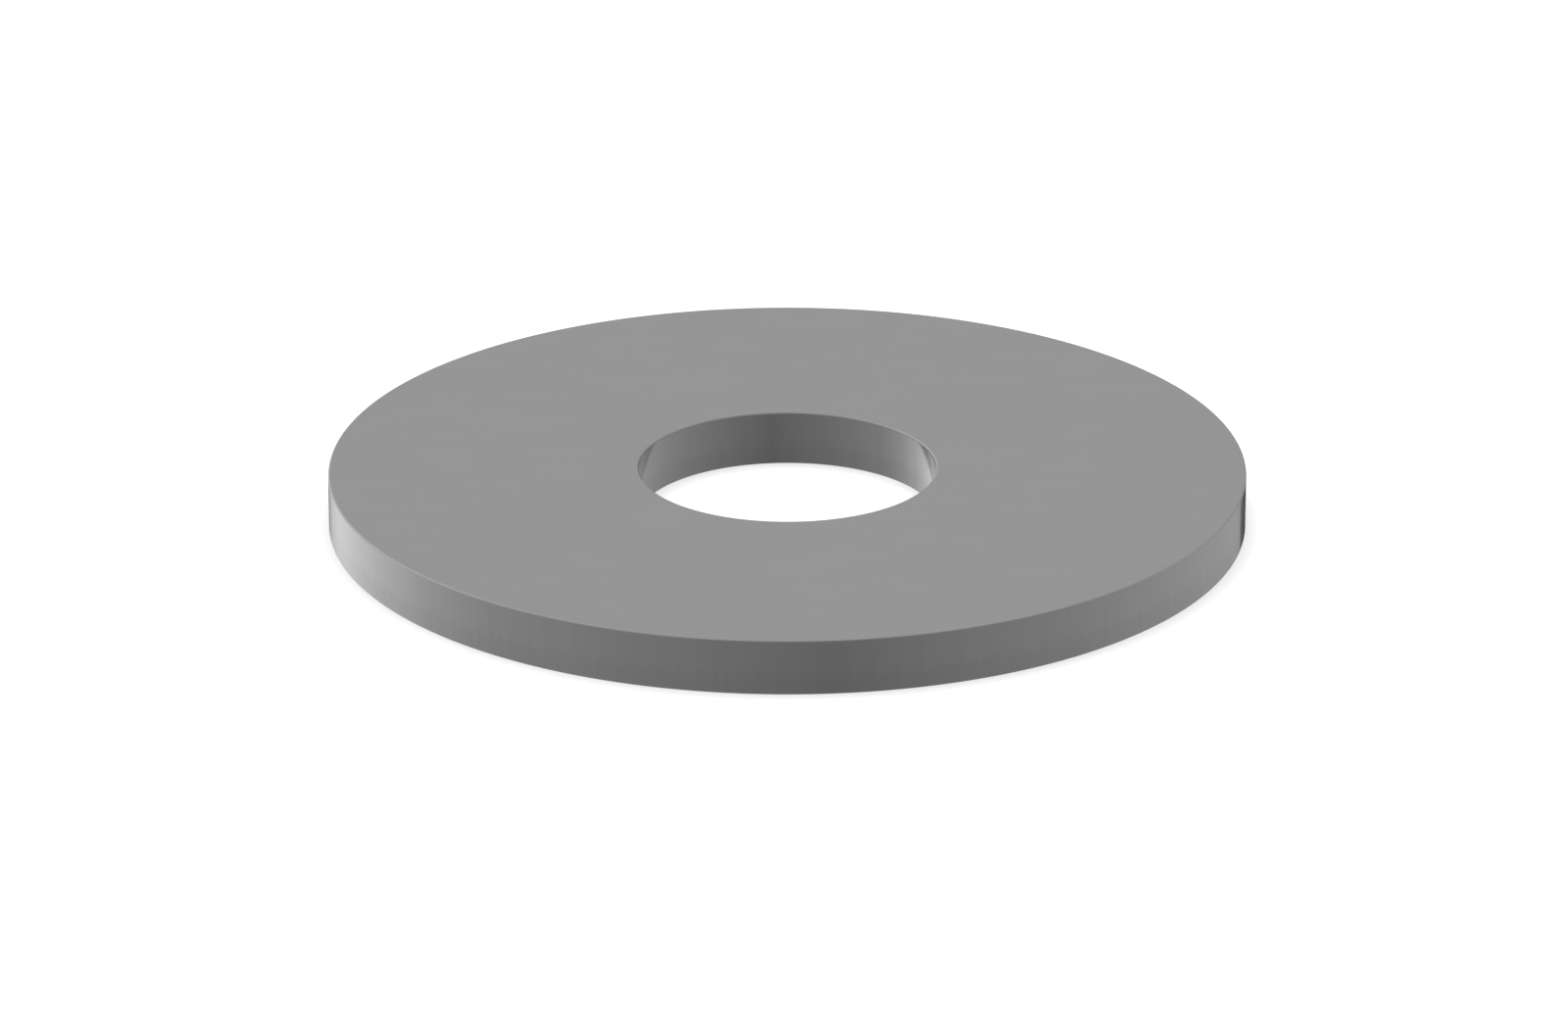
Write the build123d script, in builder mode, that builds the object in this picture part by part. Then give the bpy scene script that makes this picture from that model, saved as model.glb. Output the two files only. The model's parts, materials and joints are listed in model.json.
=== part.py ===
"""Large-diameter flat washer for a 3/8 in bolt, stamped from 14 gauge steel sheet.

The washer is one flat ring. It lies flat, its axis is Z, and the centre of the hole
at the lower face is the origin. One press stroke cuts the outline and the hole
together, so both have their drawn-over edge on the upper side and their keener edge
on the lower side.
"""

import os

from build123d import *

INCH = 25.4

outside_diameter = 1.25 * INCH
hole_diameter = 13 / 32 * INCH
sheet_thickness = 0.0747 * INCH
upper_edge_radius = 0.050
lower_edge_radius = 0.020

with BuildPart() as washer:
    with BuildSketch():
        Circle(outside_diameter / 2)
        Circle(hole_diameter / 2, mode=Mode.SUBTRACT)
    extrude(amount=sheet_thickness)
    circles = washer.edges().filter_by(GeomType.CIRCLE)
    fillet(circles.group_by(Axis.Z)[-1], upper_edge_radius)
    circles = washer.edges().filter_by(GeomType.CIRCLE)
    fillet(circles.group_by(Axis.Z)[0], lower_edge_radius)

washer.part.label = "flat_washer"

os.makedirs("parts", exist_ok=True)
export_step(washer.part, "parts/flat_washer.step")
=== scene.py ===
"""A stamped steel flat washer lying on a white studio floor.

The washer is turned as one closed ring mesh from its cross-section, with every edge
rounded as in the CAD. All lengths are in metres and all angles in degrees unless a
name says otherwise. Azimuths are about +Z: 0 is the camera's side (-Y), 90 is +X.
"""

import json
import math

import bmesh
import bpy
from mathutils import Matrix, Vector


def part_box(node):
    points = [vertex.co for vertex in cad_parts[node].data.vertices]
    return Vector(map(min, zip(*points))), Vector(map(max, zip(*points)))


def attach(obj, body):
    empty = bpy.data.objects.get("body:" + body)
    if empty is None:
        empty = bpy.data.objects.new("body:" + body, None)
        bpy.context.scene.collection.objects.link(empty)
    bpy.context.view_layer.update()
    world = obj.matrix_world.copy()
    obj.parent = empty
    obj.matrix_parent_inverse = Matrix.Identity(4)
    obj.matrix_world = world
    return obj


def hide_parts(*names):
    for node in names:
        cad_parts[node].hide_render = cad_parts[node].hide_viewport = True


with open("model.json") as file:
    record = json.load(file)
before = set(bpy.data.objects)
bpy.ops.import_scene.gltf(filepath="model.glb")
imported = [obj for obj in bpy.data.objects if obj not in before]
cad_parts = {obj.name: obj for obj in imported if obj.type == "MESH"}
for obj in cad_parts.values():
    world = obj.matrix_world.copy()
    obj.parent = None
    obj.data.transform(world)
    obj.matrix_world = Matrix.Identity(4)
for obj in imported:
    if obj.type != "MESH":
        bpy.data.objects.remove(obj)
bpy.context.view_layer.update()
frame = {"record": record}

MM = 0.001

# The washer's own sizes, all read from the frame.
washer_low, washer_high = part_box("flat_washer")
bolt_hole = next(m for m in frame["record"]["mounts"] if m["name"] == "bolt_hole")
OUTSIDE_RADIUS = (washer_high.x - washer_low.x) / 2
HOLE_RADIUS = bolt_hole["dims"]["r_mm"] * MM
FLOOR_Z = washer_low.z
TOP_Z = washer_high.z
BORE_LENGTH = bolt_hole["dims"]["length_mm"] * MM
BORE_MIDDLE_Z = bolt_hole["pos_m"][2]
UPPER_EDGE = TOP_Z - (BORE_MIDDLE_Z + BORE_LENGTH / 2)
LOWER_EDGE = (BORE_MIDDLE_Z - BORE_LENGTH / 2) - FLOOR_Z

# How finely the ring is divided.
SEGMENTS = 384
FACE_RINGS = 14
WALL_RINGS = 7
UPPER_EDGE_RINGS = 8
LOWER_EDGE_RINGS = 5

# The steel: reflectance and roughness of each kind of surface. The edge grey holds a painted
# highlight and the low-wall grey painted shade.
FACE_GREY = 0.85
# Painted highlight: the rounded edges get a brighter grey than the faces.
EDGE_HIGHLIGHT_GREY = 0.92
# Painted shade: the lower walls near the floor get a darker grey.
LOW_WALL_SHADE_GREY = 0.79
FACE_ROUGHNESS = 0.10
FRACTURE_ROUGHNESS = 0.12

# Its texture: the width of each feature in mm, and how many times longer it is by axis.
GRAIN_WIDTH = 0.18
GRAIN_STRETCH = (14, 1, 1)
STRIATION_WIDTH = 0.25
STRIATION_STRETCH = (1, 1, 12)
DIMPLE_WIDTH = 0.30
CLOUD_WIDTH = 3.0
SMUDGE_WIDTH = 6.0
SMUDGE_STRETCH = (1.6, 1, 1)
COARSE_DETAIL = 2.0
FINE_DETAIL = 3.0

# The stretch of each noise, out of 0 to 1, over which it takes effect.
CLOUD_RANGE = (0.2, 0.8)
TEXTURE_RANGE = (0.3, 0.7)
SMUDGE_RANGE = (0.56, 0.70)

# What the texture does: relief in mm, and changes to the grey and to the roughness.
TEXTURE_HEIGHT = 0.0022
DIMPLE_HEIGHT = 0.0015
GREY_CHANGE = 0.01
ROUGHNESS_CHANGE = 0.015
SMUDGE_ROUGHNESS = 0.03
EDGE_SMOOTHING = 0.02

# How level a surface is from wall to face, and how far between the two from face to edge.
WALL_RANGE = (0.2, 0.9)
EDGE_RANGE = (0.02, 0.2)

# The lower wall zone, rougher where torn and darker as painted shade near the floor,
# ends between these shares of the thickness, at a border this ragged in mm.
TORN_UP_TO = 0.25
BURNISHED_FROM = 0.65
RAGGEDNESS = 0.35

# The floor's reflectance and its own glow, and how much light the hole's shade passes.
FLOOR_HALF_WIDTH = 2.0
FLOOR_GREY = 0.48
FLOOR_GLOW = 0.42
SHADE_CORNERS = 96
SHADE_PASSES = 0.87

# The light that the metal mirrors, as (azimuth, brightness) round the studio: from
# below, from about the horizon and from overhead. The stops were set so that
# the walls shade as a photographed washer's do. They are not a measured room, and
# those that no wall in view mirrors are guesses.
LOW_GLOW = [
    (-180, 0.18), (-172, 0.17), (-169, 0.38), (-162, 0.58), (-154, 0.68), (-146, 0.67),
    (-120, 0.46), (-100, 0.33), (-80, 0.25), (-40, 0.195), (12, 0.14), (80, 0.23),
    (130, 0.32), (148, 0.34), (159, 0.33), (161, 0.09), (168, 0.07), (180, 0.18),
]
HORIZON_GLOW = [
    (-180, 0.35), (-173, 0.35), (-169, 0.65), (-163, 0.65), (-156, 0.46), (-100, 0.38),
    (-60, 0.24), (0, 0.165), (60, 0.19), (105, 0.27), (140, 0.29), (158, 0.26),
    (172, 0.35), (180, 0.35),
]
HIGH_GLOW = [
    (-180, 0.35), (-120, 0.38), (-90, 0.34), (-60, 0.25), (0, 0.17), (60, 0.20),
    (110, 0.28), (180, 0.35),
]

# The elevations between which each band of that light gives way to the next.
LOW_BAND_TOP = -14
HORIZON_BAND_BOTTOM = -4
HORIZON_BAND_TOP = 30
HIGH_BAND_BOTTOM = 55
BACKDROP_WHITE = 1.2


def line(start, end, normal, steps):
    """Cross-section points (radius, z, normal) from start up to, not including, end."""
    points = []
    for i in range(steps):
        share = i / steps
        points.append((
            start[0] + (end[0] - start[0]) * share,
            start[1] + (end[1] - start[1]) * share,
            normal,
        ))
    return points


def rounding(centre, radius, start_angle, steps):
    """Cross-section points of a quarter turn from start_angle, not including its end."""
    points = []
    for i in range(steps):
        angle = math.radians(start_angle + 90 * i / steps)
        normal = (math.cos(angle), math.sin(angle))
        points.append((
            centre[0] + radius * normal[0],
            centre[1] + radius * normal[1],
            normal,
        ))
    return points


def cross_section():
    """The washer's closed outline on one side of its axis, running anticlockwise."""
    outer_low = OUTSIDE_RADIUS - LOWER_EDGE
    outer_high = OUTSIDE_RADIUS - UPPER_EDGE
    inner_low = HOLE_RADIUS + LOWER_EDGE
    inner_high = HOLE_RADIUS + UPPER_EDGE
    wall_low = FLOOR_Z + LOWER_EDGE
    wall_high = TOP_Z - UPPER_EDGE
    return (
        line((inner_low, FLOOR_Z), (outer_low, FLOOR_Z), (0, -1), FACE_RINGS)
        + rounding((outer_low, wall_low), LOWER_EDGE, -90, LOWER_EDGE_RINGS)
        + line((OUTSIDE_RADIUS, wall_low), (OUTSIDE_RADIUS, wall_high), (1, 0), WALL_RINGS)
        + rounding((outer_high, wall_high), UPPER_EDGE, 0, UPPER_EDGE_RINGS)
        + line((outer_high, TOP_Z), (inner_high, TOP_Z), (0, 1), FACE_RINGS)
        + rounding((inner_high, wall_high), UPPER_EDGE, 90, UPPER_EDGE_RINGS)
        + line((HOLE_RADIUS, wall_high), (HOLE_RADIUS, wall_low), (-1, 0), WALL_RINGS)
        + rounding((inner_low, wall_low), LOWER_EDGE, 180, LOWER_EDGE_RINGS)
    )


def circle(radius, z, count):
    """Points spaced evenly round the axis, anticlockwise from +X."""
    angles = [2 * math.pi * i / count for i in range(count)]
    return [(radius * math.cos(angle), radius * math.sin(angle), z) for angle in angles]


def finished(builder, name):
    """The object made from a mesh builder, which it frees."""
    mesh = bpy.data.meshes.new(name)
    builder.to_mesh(mesh)
    builder.free()
    made = bpy.data.objects.new(name, mesh)
    bpy.context.scene.collection.objects.link(made)
    return made


def make_washer():
    """Turns the cross-section round the axis into one closed, smooth-shaded ring."""
    builder = bmesh.new()
    rings = []
    normals = []
    for radius, z, (out, up) in cross_section():
        rings.append([builder.verts.new(point) for point in circle(radius, z, SEGMENTS)])
        normals += circle(out, up, SEGMENTS)
    for i, ring in enumerate(rings):
        following = rings[(i + 1) % len(rings)]
        for j in range(SEGMENTS):
            k = (j + 1) % SEGMENTS
            face = builder.faces.new((ring[j], ring[k], following[k], following[j]))
            face.smooth = True
    made = finished(builder, "washer_body")
    made.data.normals_split_custom_set_from_vertices(normals)
    return made


def add_node(tree, kind, **settings):
    """A new shader node with its settings."""
    node = tree.nodes.new(kind)
    for name, value in settings.items():
        setattr(node, name, value)
    return node


def feed(tree, socket, value):
    """Links an output to a socket, or sets the socket to a plain value."""
    if isinstance(value, bpy.types.NodeSocket):
        tree.links.new(value, socket)
    else:
        socket.default_value = value


def maths(tree, operation, *values):
    """The result of one sum on outputs and numbers."""
    node = add_node(tree, "ShaderNodeMath", operation=operation)
    for socket, value in zip(node.inputs, values):
        feed(tree, socket, value)
    return node.outputs[0]


def axes(tree, vector):
    """The X, Y and Z outputs of a vector."""
    node = add_node(tree, "ShaderNodeSeparateXYZ")
    feed(tree, node.inputs[0], vector)
    return node.outputs


def eased(tree, value, low, high, at_low=0.0, at_high=1.0):
    """Goes smoothly from at_low to at_high while value goes from low to high."""
    node = add_node(tree, "ShaderNodeMapRange", interpolation_type="SMOOTHSTEP")
    feed(tree, node.inputs["Value"], value)
    feed(tree, node.inputs["From Min"], low)
    feed(tree, node.inputs["From Max"], high)
    feed(tree, node.inputs["To Min"], at_low)
    feed(tree, node.inputs["To Max"], at_high)
    return node.outputs["Result"]


def mixed(tree, share, first, second, kind="FLOAT"):
    """First where share is 0, second where it is 1; kind RGBA mixes colours."""
    node = add_node(tree, "ShaderNodeMix", data_type=kind)
    feed(tree, node.inputs["Factor"], share)
    feed(tree, node.inputs["A"], first)
    feed(tree, node.inputs["B"], second)
    return node.outputs["Result"]


def noise(tree, position, width, stretch=(1, 1, 1), detail=COARSE_DETAIL):
    """Noise from 0 to 1 with features width mm across, drawn out along an axis."""
    scaled = add_node(tree, "ShaderNodeVectorMath", operation="MULTIPLY")
    feed(tree, scaled.inputs[0], position)
    feed(tree, scaled.inputs[1], [1 / (width * longer) for longer in stretch])
    node = add_node(tree, "ShaderNodeTexNoise")
    feed(tree, node.inputs["Vector"], scaled.outputs[0])
    feed(tree, node.inputs["Scale"], 1.0)
    feed(tree, node.inputs["Detail"], detail)
    return node.outputs["Fac"]


def swing(tree, pattern, limits, change, middle=0.0):
    """A pattern turned into a value that swings by change to either side of middle."""
    return eased(tree, pattern, *limits, middle - change, middle + change)


def wall_and_edge(tree, normal):
    """Masks for the upright walls and for the rounded edges, from the smooth normal."""
    level = maths(tree, "ABSOLUTE", axes(tree, normal)["Z"])
    wall = eased(tree, level, *WALL_RANGE, 1.0, 0.0)
    slant = maths(tree, "MULTIPLY", level, maths(tree, "SUBTRACT", 1.0, level))
    edge = eased(tree, slant, *EDGE_RANGE)
    return wall, edge


def torn_and_shaded_zone(tree, position, striations, wall):
    """Mask for the lower wall below a ragged border, rougher where torn and darkened as painted
    shade near the floor.
    """
    thickness = (TOP_Z - FLOOR_Z) / MM
    border = (TORN_UP_TO * thickness, BURNISHED_FROM * thickness)
    raggedness = maths(tree, "MULTIPLY", striations, RAGGEDNESS)
    ragged_z = maths(tree, "ADD", axes(tree, position)["Z"], raggedness)
    return maths(tree, "MULTIPLY", wall, eased(tree, ragged_z, *border, 1.0, 0.0))


def steel_grey(tree, position, texture, torn_and_shaded, edge):
    """The reflectance: darker low on the walls as painted shade near the floor, brighter at the
    edges as a painted highlight, faintly clouded.
    """
    cloud = noise(tree, position, CLOUD_WIDTH)
    grey = mixed(tree, torn_and_shaded, FACE_GREY, LOW_WALL_SHADE_GREY)
    grey = mixed(tree, edge, grey, EDGE_HIGHLIGHT_GREY)
    grey = maths(tree, "MULTIPLY", grey, swing(tree, cloud, CLOUD_RANGE, GREY_CHANGE, 1.0))
    return maths(tree, "MULTIPLY", grey, swing(tree, texture, TEXTURE_RANGE, GREY_CHANGE, 1.0))


def steel_roughness(tree, position, texture, torn_and_shaded, edge):
    """The roughness: more where torn or smudged, less at the edges."""
    patches = noise(tree, position, SMUDGE_WIDTH, SMUDGE_STRETCH, FINE_DETAIL)
    smudge = eased(tree, patches, *SMUDGE_RANGE)
    rough = mixed(tree, torn_and_shaded, FACE_ROUGHNESS, FRACTURE_ROUGHNESS)
    rough = maths(tree, "ADD", rough, swing(tree, texture, TEXTURE_RANGE, ROUGHNESS_CHANGE))
    rough = maths(tree, "ADD", rough, maths(tree, "MULTIPLY", smudge, SMUDGE_ROUGHNESS))
    return maths(tree, "SUBTRACT", rough, maths(tree, "MULTIPLY", edge, EDGE_SMOOTHING))


def steel_relief(tree, position, texture):
    """The normal of a surface with the fine relief of texture and dimples."""
    dimples = noise(tree, position, DIMPLE_WIDTH)
    relief = maths(tree, "MULTIPLY", texture, TEXTURE_HEIGHT)
    relief = maths(tree, "ADD", relief, maths(tree, "MULTIPLY", dimples, DIMPLE_HEIGHT))
    bump = add_node(tree, "ShaderNodeBump")
    feed(tree, bump.inputs["Strength"], 1.0)
    feed(tree, bump.inputs["Distance"], MM)
    feed(tree, bump.inputs["Height"], relief)
    return bump.outputs["Normal"]


def steel():
    """Rolled sheet steel, sheared at its walls and tumbled smooth at its edges, with a painted
    highlight on the edges and painted shade low on the walls.
    """
    material = bpy.data.materials.new("rolled_steel")
    material.use_nodes = True
    tree = material.node_tree
    shader = tree.nodes["Principled BSDF"]
    coordinates = add_node(tree, "ShaderNodeTexCoord")
    in_mm = add_node(tree, "ShaderNodeVectorMath", operation="SCALE")
    feed(tree, in_mm.inputs[0], coordinates.outputs["Object"])
    feed(tree, in_mm.inputs["Scale"], 1 / MM)
    position = in_mm.outputs[0]
    wall, edge = wall_and_edge(tree, coordinates.outputs["Normal"])

    # Rolling grain runs along X on the faces, and striations run up the walls.
    grain = noise(tree, position, GRAIN_WIDTH, GRAIN_STRETCH, FINE_DETAIL)
    striations = noise(tree, position, STRIATION_WIDTH, STRIATION_STRETCH, FINE_DETAIL)
    texture = mixed(tree, wall, grain, striations)
    # The lower walls are rougher where torn, and their darker grey is painted shade near the
    # floor.
    torn_and_shaded = torn_and_shaded_zone(tree, position, striations, wall)

    feed(tree, shader.inputs["Base Color"], steel_grey(tree, position, texture, torn_and_shaded, edge))
    feed(tree, shader.inputs["Roughness"], steel_roughness(tree, position, texture, torn_and_shaded, edge))
    feed(tree, shader.inputs["Normal"], steel_relief(tree, position, texture))
    shader.inputs["Metallic"].default_value = 1.0
    return material


def make_floor():
    """A wide white floor that glows as well as being lit, and that the metal does not mirror."""
    half = FLOOR_HALF_WIDTH
    corners = [(-half, -half), (half, -half), (half, half), (-half, half)]
    builder = bmesh.new()
    builder.faces.new([builder.verts.new((x, y, FLOOR_Z)) for x, y in corners])
    floor = finished(builder, "studio_floor")
    material = bpy.data.materials.new("white_floor")
    material.use_nodes = True
    shader = material.node_tree.nodes["Principled BSDF"]
    shader.inputs["Base Color"].default_value = (FLOOR_GREY, FLOOR_GREY, FLOOR_GREY, 1)
    shader.inputs["Emission Color"].default_value = (1, 1, 1, 1)
    shader.inputs["Emission Strength"].default_value = FLOOR_GLOW
    shader.inputs["Roughness"].default_value = 1.0
    shader.inputs["Specular IOR Level"].default_value = 0.0
    floor.data.materials.append(material)
    floor.visible_glossy = False
    floor.visible_shadow = False


def make_hole_shade():
    """Dims what the hole's wall mirrors, as the shaded floor inside the hole would."""
    rim = circle(HOLE_RADIUS + LOWER_EDGE, FLOOR_Z, SHADE_CORNERS)
    builder = bmesh.new()
    builder.faces.new([builder.verts.new(point) for point in rim])
    shade = finished(builder, "hole_shade")
    material = bpy.data.materials.new("shade")
    material.use_nodes = True
    tree = material.node_tree
    tree.nodes.clear()
    filter_node = add_node(tree, "ShaderNodeBsdfTransparent")
    feed(tree, filter_node.inputs["Color"], (SHADE_PASSES, SHADE_PASSES, SHADE_PASSES, 1))
    output = add_node(tree, "ShaderNodeOutputMaterial")
    feed(tree, output.inputs["Surface"], filter_node.outputs[0])
    shade.data.materials.append(material)
    shade.visible_camera = False
    shade.visible_diffuse = False
    shade.visible_shadow = False


def glow_ramp(tree, name, place, stops):
    """Brightness by azimuth, where place is 0 at -180 degrees and 1 at 180."""
    ramp = add_node(tree, "ShaderNodeValToRGB", name=name)
    elements = ramp.color_ramp.elements
    while len(elements) > 1:
        elements.remove(elements[-1])
    for i, (azimuth, level) in enumerate(stops):
        stop = azimuth / 360 + 0.5
        element = elements[0] if i == 0 else elements.new(stop)
        element.position = stop
        element.color = (level, level, level, 1)
    feed(tree, ramp.inputs[0], place)
    return ramp.outputs["Color"]


def studio_glow(tree, direction):
    """The grey that the metal mirrors from a direction, given by its X, Y and Z."""
    towards_camera = maths(tree, "MULTIPLY", direction["Y"], -1.0)
    azimuth = maths(tree, "ARCTAN2", direction["X"], towards_camera)
    place = maths(tree, "MULTIPLY_ADD", azimuth, 1 / (2 * math.pi), 0.5)
    low = glow_ramp(tree, "low_glow", place, LOW_GLOW)
    horizon = glow_ramp(tree, "horizon_glow", place, HORIZON_GLOW)
    high = glow_ramp(tree, "high_glow", place, HIGH_GLOW)
    elevation = maths(tree, "ARCSINE", direction["Z"])
    first_change = (math.radians(LOW_BAND_TOP), math.radians(HORIZON_BAND_BOTTOM))
    second_change = (math.radians(HORIZON_BAND_TOP), math.radians(HIGH_BAND_BOTTOM))
    glow = mixed(tree, eased(tree, elevation, *first_change), low, horizon, "RGBA")
    return mixed(tree, eased(tree, elevation, *second_change), glow, high, "RGBA")


def make_world():
    """A soft studio: plain white to the camera, and a slow play of greys to the metal."""
    world = bpy.data.worlds.new("studio")
    bpy.context.scene.world = world
    world.use_nodes = True
    tree = world.node_tree
    tree.nodes.clear()
    coordinates = add_node(tree, "ShaderNodeTexCoord")
    glow = studio_glow(tree, axes(tree, coordinates.outputs["Generated"]))
    seen = add_node(tree, "ShaderNodeLightPath").outputs["Is Camera Ray"]
    white = (BACKDROP_WHITE, BACKDROP_WHITE, BACKDROP_WHITE, 1)
    background = add_node(tree, "ShaderNodeBackground")
    feed(tree, background.inputs["Color"], mixed(tree, seen, glow, white, "RGBA"))
    output = add_node(tree, "ShaderNodeOutputWorld")
    feed(tree, output.inputs["Surface"], background.outputs[0])


def make_lamp():
    """A broad overhead light for the floor alone, which leaves a thin shadow."""
    strength = 4.4
    spread = 68
    direction = Vector((-0.04, 0.06, 1))
    lamp = bpy.data.lights.new("overhead", "SUN")
    lamp.energy = strength
    lamp.angle = math.radians(spread)
    overhead = bpy.data.objects.new("overhead", lamp)
    bpy.context.scene.collection.objects.link(overhead)
    overhead.rotation_euler = direction.to_track_quat("Z", "Y").to_euler()
    overhead.visible_glossy = False


def allow_many_reflections():
    """Follows light far enough for the hole's wall, which mirrors itself many times over."""
    bounces = 16
    bpy.context.scene.cycles.max_bounces = bounces
    bpy.context.scene.cycles.glossy_bounces = bounces


def make_camera():
    """A long lens looking down at the washer from the front."""
    elevation = math.radians(21.33)
    distance = 302.3 * MM
    aim = Vector((-0.11 * MM, 0, 0.433 * MM))
    camera_data = bpy.data.cameras.new("camera")
    camera_data.sensor_width = 36
    camera_data.lens = 200.5
    camera_data.clip_start = 0.01
    camera_data.clip_end = 10
    camera = bpy.data.objects.new("camera", camera_data)
    bpy.context.scene.collection.objects.link(camera)
    top_centre = Vector((0, 0, TOP_Z))
    backwards = Vector((0, -math.cos(elevation), math.sin(elevation)))
    camera.location = top_centre + distance * backwards
    camera.rotation_euler = (aim - camera.location).to_track_quat("-Z", "Y").to_euler()
    bpy.context.scene.camera = camera


washer = make_washer()
washer.data.materials.append(steel())
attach(washer, "root")
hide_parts("flat_washer")

make_floor()
make_hole_shade()
make_world()
make_lamp()
make_camera()
bpy.context.scene.view_settings.view_transform = "Standard"
allow_many_reflections()
